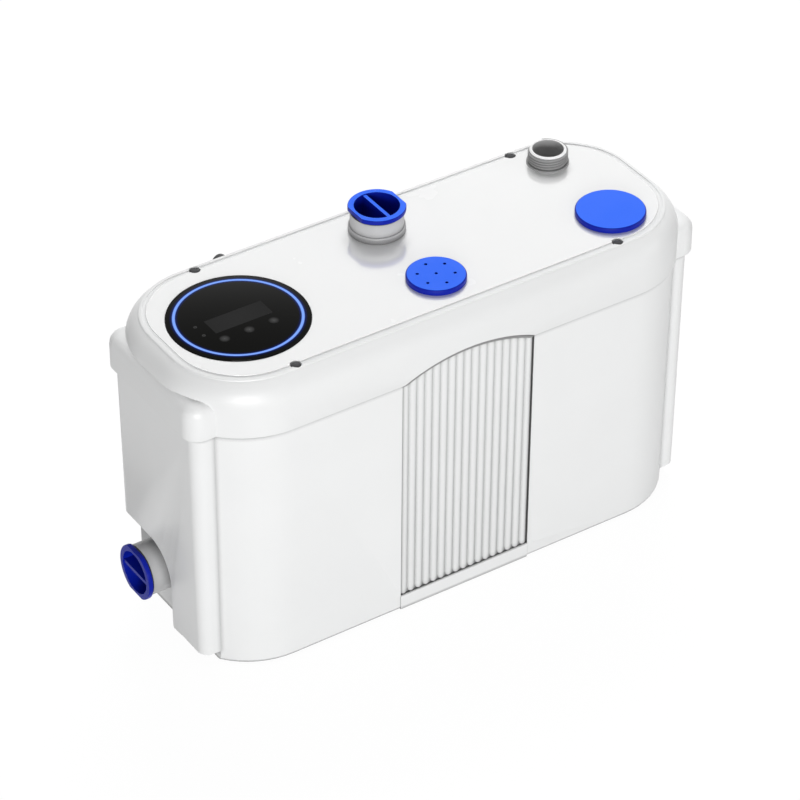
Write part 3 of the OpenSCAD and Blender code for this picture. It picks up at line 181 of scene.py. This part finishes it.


# Crease shade is painted shade in seams and corners, with a reach in millimetres and a depth. Bump depths
# are in millimetres too
finishes = {
    "shellWhite": dict(
        color=(0.78, 0.785, 0.785), roughness=0.30, bump=0.06, grainScale=420.0, specular=0.35),
    "tankWhite": dict(
        color=(0.795, 0.80, 0.80), roughness=0.30, bump=0.06, grainScale=420.0, specular=0.35,
        paintedCreaseShade=(5.0, 2.2)),
    # Dark grey for the tank's frontmost strip under the lid's edge: painted shadow of the lid's overhang
    "paintedSeamShadow": dict(color=grey(0.27), roughness=0.5, bump=0.05, paintedCreaseShade=(5.0, 1.5)),
    "plateWhite": dict(
        color=(0.795, 0.80, 0.80), roughness=0.22, bump=0.02, grainScale=300.0, specular=0.3,
        coat=1.0, coatIndex=3.1, coatRoughness=0.13),
    "fittingGrey": dict(
        color=(0.46, 0.46, 0.465), roughness=0.34, bump=0.08, shade=0.9, paintedCreaseShade=(10.0, 1.8)),
    "outletGrey": dict(color=grey(0.26), roughness=0.38, bump=0.12, shade=0.86),
    # Near-white on the outlet's top rim: a painted highlight
    "outletRimPaintedHighlight": dict(color=grey(0.85), roughness=0.35, bump=0.05),
    # Lighter than the outlet's own grey: painted light inside the bore
    "borePaintedLight": dict(color=grey(0.40), roughness=0.5, bump=0.1),
    # One cap blue in two copies: the darker one for sides, the lighter one painted light on faces that look
    # up
    "capBlue": dict(color=(0.003, 0.012, 0.30), roughness=0.32, bump=0.05, shade=0.9, specular=0.12),
    "capBluePaintedLight": dict(color=(0.030, 0.145, 0.90), roughness=0.30, bump=0.05, shade=0.93, specular=0.15),
    "screwGrey": dict(color=(0.045, 0.045, 0.048), roughness=0.42, bump=0.2, specular=0.3),
    "blackRubber": dict(color=(0.02, 0.02, 0.021), roughness=0.65, bump=0.3, grainScale=1500.0),
    "greyRubber": dict(color=(0.06, 0.062, 0.065), roughness=0.6, bump=0.3, grainScale=1500.0),
    "darkPlastic": dict(color=(0.03, 0.031, 0.033), roughness=0.45, bump=0.15),
    "pumpGrey": dict(color=(0.12, 0.125, 0.13), roughness=0.55, bump=0.3, shade=0.8),
    "charcoal": dict(color=grey(0.012), roughness=0.9, bump=0.9, grainScale=600.0, bumpDepth=0.4),
    "boardGreen": dict(color=(0.01, 0.10, 0.045), roughness=0.35, bump=0.1, cloudScale=120.0),
    "drawnAluminium": dict(color=(0.72, 0.73, 0.75), roughness=0.28, metallic=1.0, bump=0.1),
    "castAluminium": dict(
        color=(0.52, 0.53, 0.55), roughness=0.5, metallic=1.0, bump=0.5, grainScale=700.0),
    "copper": dict(
        color=(0.62, 0.27, 0.12), roughness=0.35, metallic=1.0, bump=0.2, shade=0.7, cloudScale=200.0),
    "platedSteel": dict(color=(0.45, 0.46, 0.48), roughness=0.36, metallic=1.0, bump=0.15),
    "stainless": dict(color=(0.60, 0.61, 0.63), roughness=0.25, metallic=1.0, bump=0.12),
}
materials = {name: makeMaterial(name, look) for name, look in finishes.items()}


# Rings of colour round a place: a radius in millimetres, then the colour. A wrap repeats them
def buildRings(name, at, stops, reach, wrap):
    group = startGroup(name, {}, {"Color": paleGrey})
    new = group.nodes.new
    leave, place = new("NodeGroupOutput"), new("ShaderNodeTexCoord")
    move = mathNode(
        group, "SUBTRACT", place.outputs["Object"], (at[0], at[1], 0), kind="ShaderNodeVectorMath")
    split, join = new("ShaderNodeSeparateXYZ"), new("ShaderNodeCombineXYZ")
    link(group, move.outputs[0], split.inputs[0])
    for axis in ("X", "Y"):
        along = split.outputs[axis]
        if axis in wrap:
            half = wrap[axis] * mm / 2
            along = mathNode(group, "WRAP", along, half, -half).outputs[0]
        link(group, along, join.inputs[axis])
    far = mathNode(group, "LENGTH", join.outputs[0], kind="ShaderNodeVectorMath")
    part = mathNode(group, "DIVIDE", far.outputs["Value"], reach * mm)
    ramp = new("ShaderNodeValToRGB")
    link(group, part.outputs[0], ramp.inputs["Fac"])
    band = ramp.color_ramp
    for i, (radius, color) in enumerate(stops):
        spot = band.elements[i] if i < 2 else band.elements.new(radius / reach)
        spot.position = radius / reach
        spot.color = (*color, 1)
    link(group, ramp.outputs["Color"], leave.inputs["Color"])
    return group


glassShine = 0.04


def makeRingedMaterial(name, look):
    mat, tree, shader = startMaterial(name)
    rings = tree.nodes.new("ShaderNodeGroup")
    wrap = look.get("wrap", {})
    rings.node_tree = buildRings(name + "Rings", look["at"], look["stops"], look["reach"], wrap)
    link(tree, rings.outputs["Color"], shader.inputs["Base Color"])
    shader.inputs["Roughness"].default_value = look["roughness"]
    shader.inputs["Specular IOR Level"].default_value = glassShine
    if "glow" in look:
        link(tree, rings.outputs["Color"], shader.inputs["Emission Color"])
        shader.inputs["Emission Strength"].default_value = look["glow"]
    return mat


# Control glass as one disc, a hair below its inlays
glass = {"radius": 56.4, "proud": 0.96, "seat": 1.6, "edge": 0.3, "round": 0.3}
glassPlace = Vector((sidesOf("control_glass")[1].x - glass["radius"] * mm, middleY, plateTop))
keyPitch, lampPitch = 22.0, 12.8
lampPlace = middleOf("indicator_leds") - Vector((0, lampPitch / 2 * mm, 0))
black, navy, paleBlue = (0.004, 0.004, 0.0036), (0.002, 0.008, 0.085), (0.17, 0.31, 0.80)
ringed = {
    "blackGlass": dict(at=glassPlace, reach=60, roughness=0.05, stops=[
        (0, black), (46.6, black), (48.2, navy), (51.5, navy), (53.2, black), (60, black)]),
    "lightRing": dict(at=glassPlace, reach=60, roughness=0.3, glow=0.35, stops=[
        (48.3, navy), (49.2, paleBlue), (50.5, paleBlue), (51.3, navy)]),
    "displayGrey": dict(at=glassPlace, reach=60, roughness=0.06, stops=[
        (0, grey(0.019)), (30, grey(0.016))]),
    "keyGrey": dict(at=middleOf("touch_keys"), reach=6, roughness=0.1, wrap={"X": keyPitch}, stops=[
        (0, grey(0.10)), (0.5, grey(0.055)), (2.4, grey(0.036)), (4.4, black)]),
    "lampGrey": dict(at=lampPlace, reach=6, roughness=0.1, wrap={"Y": lampPitch}, stops=[
        (0, grey(0.02)), (0.7, grey(0.02)), (1.1, grey(0.06)), (1.6, black)]),
}
for name, look in ringed.items():
    materials[name] = makeRingedMaterial(name, look)
print("stage: materials", len(materials))

# Points closer than the weld are one point. Corners past the sharp angle are crisp or softened,
# and faces within the flat angle are one face
weld = 0.002 * mm
sharpAngle = math.radians(32)
flatAngle = math.radians(0.2)


def makeObject(name, bm, finish, body):
    mesh = bpy.data.meshes.new(name)
    bm.to_mesh(mesh)
    bm.free()
    obj = bpy.data.objects.new(name, mesh)
    bpy.context.scene.collection.objects.link(obj)
    mesh.materials.append(materials[finish])
    for face in mesh.polygons:
        face.use_smooth = True
    mesh.set_sharp_from_angle(angle=sharpAngle)
    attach(obj, body)
    return obj


# Faces that look along "toward" and lie beyond "level" on it take the second finish
def paintFaces(bm, toward, level):
    straightOn = 0.9
    for face in bm.faces:
        if face.normal.dot(toward) > straightOn and face.calc_center_median().dot(toward) > level:
            face.material_index = 1


# Finished copy of a CAD node: merged, with softened edges
def softCopy(node, name, finish, edge, second=None):
    bm = bmesh.new()
    bm.from_mesh(nodes[node].data)
    bmesh.ops.remove_doubles(bm, verts=bm.verts, dist=weld)
    bmesh.ops.dissolve_limit(bm, angle_limit=flatAngle, verts=bm.verts, edges=bm.edges)
    if second:
        paintFaces(bm, Vector(second["toward"]), second["level"])
    obj = makeObject(name, bm, finish, bodyOfNode[node])
    if second:
        obj.data.materials.append(materials[second["finish"]])
    if edge:
        bevel = obj.modifiers.new("softEdges", "BEVEL")
        bevel.width = edge
        bevel.segments = 3
        bevel.limit_method = "ANGLE"
        bevel.angle_limit = sharpAngle
        bevel.harden_normals = True
        bevel.miter_outer = "MITER_ARC"
    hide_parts(node)


# Pieces that show, with the radius of their softened edges in millimetres
shown = {
    "tank": ("tankShell", "tankWhite", 0.5),
    "lid": ("lidShell", "shellWhite", 0.4),
    "cover_plate": ("coverPlate", "plateWhite", 0.35),
    "top_inlet_spigot": ("topSpigot", "fittingGrey", 0.4),
    "top_inlet_cap": ("topCap", "capBlue", 0.35),
    "vent_cap": ("ventCap", "capBlue", 0.25),
    "blank_cap": ("blankCap", "capBlue", 0.35),
    "side_inlet_spigot_left": ("sideSpigotLeft", "fittingGrey", 0.4),
    "side_inlet_spigot_right": ("sideSpigotRight", "fittingGrey", 0.4),
    "side_cap_left": ("sideCapLeft", "capBlue", 0.35),
    "side_cap_right": ("sideCapRight", "capBlue", 0.35),
    "rear_inlet_spigot": ("rearSpigot", "shellWhite", 0.4),
    "rear_inlet_boot": ("rearBoot", "greyRubber", 0.5),
    "cable_gland": ("cableGland", "darkPlastic", 0.3),
    "light_ring": ("lightRing", "lightRing", 0.0),
    "display_window": ("displayWindow", "displayGrey", 0.0),
}
# Cap faces that look up take the lighter blue, painted light
upward = dict(toward=(0, 0, 1), finish="capBluePaintedLight")
second = {
    # The tank's frontmost strip takes the painted shadow under the lid's edge
    "tank": dict(toward=(0, -1, 0), finish="paintedSeamShadow", level=-sidesOf("tank")[0].y - 0.2 * mm),
    "top_inlet_cap": dict(upward, level=plateTop + 20 * mm),
    "vent_cap": dict(upward, level=plateTop + 3 * mm),
    "blank_cap": dict(upward, level=plateTop + 3 * mm),
}
for node, (name, finish, edge) in shown.items():
    softCopy(node, name, finish, edge * mm, second.get(node))
print("stage: shown pieces", len(shown))


# Profile turned round an upright axis. Points are radius and height in millimetres
def turned(bm, points, place, closed=True, steps=96):
    verts = [bm.verts.new((place.x + radius * mm, place.y, place.z + high * mm)) for radius, high in points]
    edges = [bm.edges.new(pair) for pair in zip(verts, verts[1:])]
    if closed:
        edges.append(bm.edges.new((verts[-1], verts[0])))
    bmesh.ops.spin(
        bm, geom=verts + edges, cent=place, axis=(0, 0, 1), angle=2 * math.pi, steps=steps, use_merge=True)


def outward(bm):
    bmesh.ops.recalc_face_normals(bm, faces=bm.faces)


# Pressure outlet: a plain core with a helical thread round it
outlet = {
    "bore": 12.9, "crest": 16.62, "root": 15.25, "collar": 17.5, "collarHeight": 1.5,
    "rimHeight": 1.1, "rimSlope": 0.9, "edge": 0.3,
    "pitch": 2.309, "threadStart": 2.0, "threadTurns": 4.2, "threadFoot": 0.92, "threadFlat": 0.18,
    "stepsPerTurn": 64,
}


def buildOutlet(o):
    low, high = sidesOf("outlet_nipple")
    place = Vector((high.x - o["collar"] * mm, (low.y + high.y) / 2, plateTop))
    foot, top = (low.z - plateTop) / mm, (high.z - plateTop) / mm
    root, bore, crest, collar, edge = (o[k] for k in ("root", "bore", "crest", "collar", "edge"))
    bm = bmesh.new()
    turned(bm, [
        (bore, foot), (crest, foot), (crest, 0), (collar, 0),
        (collar, o["collarHeight"] - edge), (collar - edge, o["collarHeight"]), (root, o["collarHeight"]),
        (root, top - o["rimHeight"]), (root - o["rimSlope"], top - edge / 2),
        (root - o["rimSlope"] - edge, top), (bore + edge, top), (bore, top - edge),
    ], place)
    outward(bm)
    # The top rim takes a painted highlight, and the bore a grey painted lighter for the light inside it
    for face in bm.faces:
        middle = (face.calc_center_median() - place) / mm
        if middle.z > top - o["rimHeight"] and middle.xy.length > bore:
            face.material_index = 1
        elif middle.xy.length < bore:
            face.material_index = 2
    flank = [(root - edge, -o["threadFoot"]), (crest - edge / 2, -o["threadFlat"])]
    flank += [(radius, -share) for radius, share in reversed(flank)]
    start = place + Vector((0, 0, o["threadStart"] * mm))
    verts = [bm.verts.new(start + Vector((r, 0, share * o["pitch"] / 2)) * mm) for r, share in flank]
    steps = round(o["stepsPerTurn"] * o["threadTurns"])
    angle, rise = 2 * math.pi * steps / o["stepsPerTurn"], o["pitch"] * mm / o["stepsPerTurn"]
    bmesh.ops.spin(
        bm, geom=[bm.faces.new(verts)], cent=place, axis=(0, 0, 1), dvec=(0, 0, rise), angle=angle,
        steps=steps)
    outward(bm)
    obj = makeObject("outletNipple", bm, "outletGrey", bodyOfNode["outlet_nipple"])
    for finish in ("outletRimPaintedHighlight", "borePaintedLight"):
        obj.data.materials.append(materials[finish])
    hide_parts("outlet_nipple")


buildOutlet(outlet)

# Cover screws: shank, countersunk seat and a domed head
screws = {
    "spanX": 300.0, "spanY": 149.0, "deck": -2.6, "length": 68.0, "shank": 2.5, "head": 4.3,
    "lip": 0.45, "dome": 2.05,
}


def buildScrews(o):
    bm = bmesh.new()
    deck, head, lip = o["deck"], o["head"], o["lip"]
    arc = [
        (head * math.cos(angle), deck + lip + (o["dome"] - lip) * math.sin(angle))
        for angle in map(math.radians, range(0, 90, 15))
    ]
    profile = [
        (0, deck - o["length"]), (o["shank"], deck - o["length"]), (o["shank"], deck), (head, deck),
        *arc, (0, deck + o["dome"]),
    ]
    for sx in (-1, 1):
        for sy in (-1, 1):
            place = Vector((sx * o["spanX"] / 2 * mm, sy * o["spanY"] / 2 * mm + middleY, plateTop))
            turned(bm, profile, place, closed=False, steps=32)
    bmesh.ops.remove_doubles(bm, verts=bm.verts, dist=weld)
    outward(bm)
    obj = makeObject("coverScrews", bm, "screwGrey", bodyOfNode["cover_screws"])
    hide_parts("cover_screws")


buildScrews(screws)


def buildGlass(o):
    rim, top, edge = o["radius"], o["proud"], o["edge"]
    bm = bmesh.new()
    turned(bm, [
        (0, -o["seat"]), (rim, -o["seat"]), (rim, top - edge),
        (rim - o["round"] * edge, top - o["round"] * edge), (rim - edge, top), (0, top),
    ], glassPlace, closed=False, steps=128)
    bmesh.ops.remove_doubles(bm, verts=bm.verts, dist=weld)
    outward(bm)
    obj = makeObject("controlGlass", bm, "blackGlass", bodyOfNode["control_glass"])
    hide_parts("control_glass")


buildGlass(glass)

# Channel between the rim and the plate: points are distance in from the skirt, and height
channel = {
    "length": 471.2, "width": 180.0, "corner": 72.6, "screw": screws["spanX"] / 2, "gap": 4.55,
    "turnStep": 3,
    "profile": [
        (13.63, -2.5), (13.63, -0.5), (14.3, -0.85), (15.2, -1.0), (16.1, -0.85), (16.77, -0.5),
        (16.77, -2.5),
    ],
}


# Stretches of the channel: a long side or a whole end, stopping short of the screws
def channelPath(o, inset, kind, side):
    y = o["width"] / 2 - inset
    if kind == "long":
        reach = o["screw"] - o["gap"]
        return [(-reach, side * y), (reach, side * y)]
    centreX, centreY = o["length"] / 2 - o["corner"], o["width"] / 2 - o["corner"]
    radius = o["corner"] - inset
    half = [(side * (o["screw"] + o["gap"]), -y)]
    for angle in map(math.radians, range(0, 91, o["turnStep"])):
        half.append((side * (centreX + radius * math.sin(angle)), -centreY - radius * math.cos(angle)))
    return half + [(x, -y) for x, y in reversed(half)]


def buildChannel(o):
    bm = bmesh.new()
    for kind, side in (("long", -1), ("long", 1), ("end", -1), ("end", 1)):
        loops = []
        for inset, high in o["profile"] + o["profile"][:1]:
            path = channelPath(o, inset, kind, side)
            verts = [bm.verts.new((x * mm, y * mm + middleY, plateTop + high * mm)) for x, y in path]
            loops.append([bm.edges.new(pair) for pair in zip(verts, verts[1:])])
        for near, far in zip(loops, loops[1:]):
            bmesh.ops.bridge_loops(bm, edges=near + far)
    bmesh.ops.remove_doubles(bm, verts=bm.verts, dist=weld)
    bmesh.ops.holes_fill(bm, edges=[e for e in bm.edges if e.is_boundary], sides=8)
    outward(bm)
    obj = makeObject("rimChannel", bm, "shellWhite", "housing")


buildChannel(channel)
print("stage: outlet, screws, glass and channel")

# The rest keep their CAD shape and get a finish
inner = {
    "lid_gasket": "blackRubber", "feet": "greyRubber", "top_cap_seal": "blackRubber",
    "side_cap_seal_left": "blackRubber", "side_cap_seal_right": "blackRubber", "lock_rings": "darkPlastic",
    "vent_cup": "fittingGrey", "vent_filter": "charcoal", "access_spigot": "fittingGrey",
    "touch_keys": "keyGrey", "indicator_leds": "lampGrey", "control_box": "fittingGrey",
    "control_board": "boardGreen", "capacitor": "drawnAluminium", "pressure_sensor": "darkPlastic",
    "level_tube": "fittingGrey", "motor_housing": "castAluminium", "motor_top_cap": "castAluminium",
    "stator": "copper", "rotor_core": "platedSteel", "drive_shaft": "stainless",
    "upper_bearing": "stainless", "lower_bearing": "stainless", "shaft_seal": "blackRubber",
    "motor_bracket": "platedSteel", "motor_dampers": "blackRubber", "bracket_screws": "stainless",
    "volute": "pumpGrey", "suction_plate": "pumpGrey", "impeller": "darkPlastic",
    "macerator_blade": "stainless", "blade_nut": "stainless", "strainer_basket": "stainless",
    "discharge_hose": "blackRubber", "check_valve_body": "pumpGrey", "check_valve_flap": "blackRubber",
    "valve_pin": "stainless",
}
for node, finish in inner.items():
    nodes[node].data.materials.clear()
    nodes[node].data.materials.append(materials[finish])
print("stage: inner pieces", len(inner))

# Camera solved from the photo
camera = {
    "azimuth": -33.471, "elevation": 36.725, "roll": 0.178, "lens": 168.1,
    "place": (-1.3400, -2.0310, 1.9398),
}


def buildCamera(c):
    az, el, roll = (math.radians(c[k]) for k in ("azimuth", "elevation", "roll"))
    back = Vector((math.sin(az) * math.cos(el), -math.cos(az) * math.cos(el), math.sin(el)))
    right = Vector((math.cos(az), math.sin(az), 0))
    up = back.cross(right)
    side = math.cos(roll) * right + math.sin(roll) * up
    top = -math.sin(roll) * right + math.cos(roll) * up
    data = bpy.data.cameras.new("photoCamera")
    data.lens = c["lens"]
    data.sensor_width = 36
    data.clip_end = 50
    obj = bpy.data.objects.new("photoCamera", data)
    bpy.context.scene.collection.objects.link(obj)
    turn = Matrix((side, top, back)).transposed().to_4x4()
    obj.matrix_world = Matrix.Translation(Vector(c["place"])) @ turn
    bpy.context.scene.camera = obj


buildCamera(camera)

# Pale studio: soft fill, and white where the camera, gloss and glass look past the object
studio = {"fill": 0.30, "floorSize": 12, "floorTone": 0.35, "floorGlow": 1.1, "floorWhite": 0.88}


def whiteToViewers(tree):
    path = tree.nodes.new("ShaderNodeLightPath")
    seen = path.outputs["Is Camera Ray"]
    for ray in ("Is Glossy Ray", "Is Transmission Ray"):
        seen = mathNode(tree, "MAXIMUM", seen, path.outputs[ray]).outputs[0]
    return seen


def mixSurface(tree, share, plain, white, output):
    mix = tree.nodes.new("ShaderNodeMixShader")
    link(tree, share, mix.inputs["Fac"])
    link(tree, plain.outputs[0], mix.inputs[1])
    link(tree, white.outputs[0], mix.inputs[2])
    link(tree, mix.outputs[0], tree.nodes[output].inputs["Surface"])


def buildWorld(o):
    world = bpy.data.worlds.new("studio")
    world.use_nodes = True
    bpy.context.scene.world = world
    tree = world.node_tree
    plain, white = tree.nodes["Background"], tree.nodes.new("ShaderNodeBackground")
    for shader, strength in ((plain, o["fill"]), (white, 1.0)):
        shader.inputs["Color"].default_value = (1, 1, 1, 1)
        shader.inputs["Strength"].default_value = strength
    mixSurface(tree, whiteToViewers(tree), plain, white, "World Output")


def buildFloor(o):
    bm = bmesh.new()
    bmesh.ops.create_grid(bm, x_segments=1, y_segments=1, size=o["floorSize"])
    mesh = bpy.data.meshes.new("paleFloor")
    bm.to_mesh(mesh)
    bm.free()
    floor = bpy.data.objects.new("paleFloor", mesh)
    bpy.context.scene.collection.objects.link(floor)
    mat, tree, cloth = startMaterial("paleFloor")
    cloth.inputs["Base Color"].default_value = (*grey(o["floorTone"]), 1)
    cloth.inputs["Roughness"].default_value = 0.9
    cloth.inputs["Specular IOR Level"].default_value = 0.0
    glow = tree.nodes.new("ShaderNodeEmission")
    glow.inputs["Strength"].default_value = o["floorGlow"]
    share = mathNode(tree, "MULTIPLY", whiteToViewers(tree), o["floorWhite"]).outputs[0]
    mixSurface(tree, share, cloth, glow, "Material Output")
    mesh.materials.append(mat)


lamps = {
    "rearKey": dict(place=(0.97, 1.40, 2.05), aim=(0, 0, 0.2), size=1.3, power=58, mirrored=False),
    "frontLeft": dict(place=(-2.05, -3.60, 0.55), aim=(0, 0, 0.15), size=2.0, power=182, mirrored=True),
    "frontRight": dict(place=(2.6, -2.0, 0.8), aim=(0, 0, 0.15), size=1.4, power=17, mirrored=True),
}


def buildLamp(name, lamp):
    data = bpy.data.lights.new(name, "AREA")
    data.size = lamp["size"]
    data.energy = lamp["power"]
    obj = bpy.data.objects.new(name, data)
    bpy.context.scene.collection.objects.link(obj)
    obj.visible_glossy = lamp["mirrored"]
    obj.location = lamp["place"]
    toward = Vector(lamp["aim"]) - Vector(lamp["place"])
    obj.rotation_mode = "QUATERNION"
    obj.rotation_quaternion = toward.to_track_quat("-Z", "Y")


buildWorld(studio)
buildFloor(studio)
for name, lamp in lamps.items():
    buildLamp(name, lamp)
bpy.context.scene.view_settings.view_transform = "Standard"
print("stage: studio")
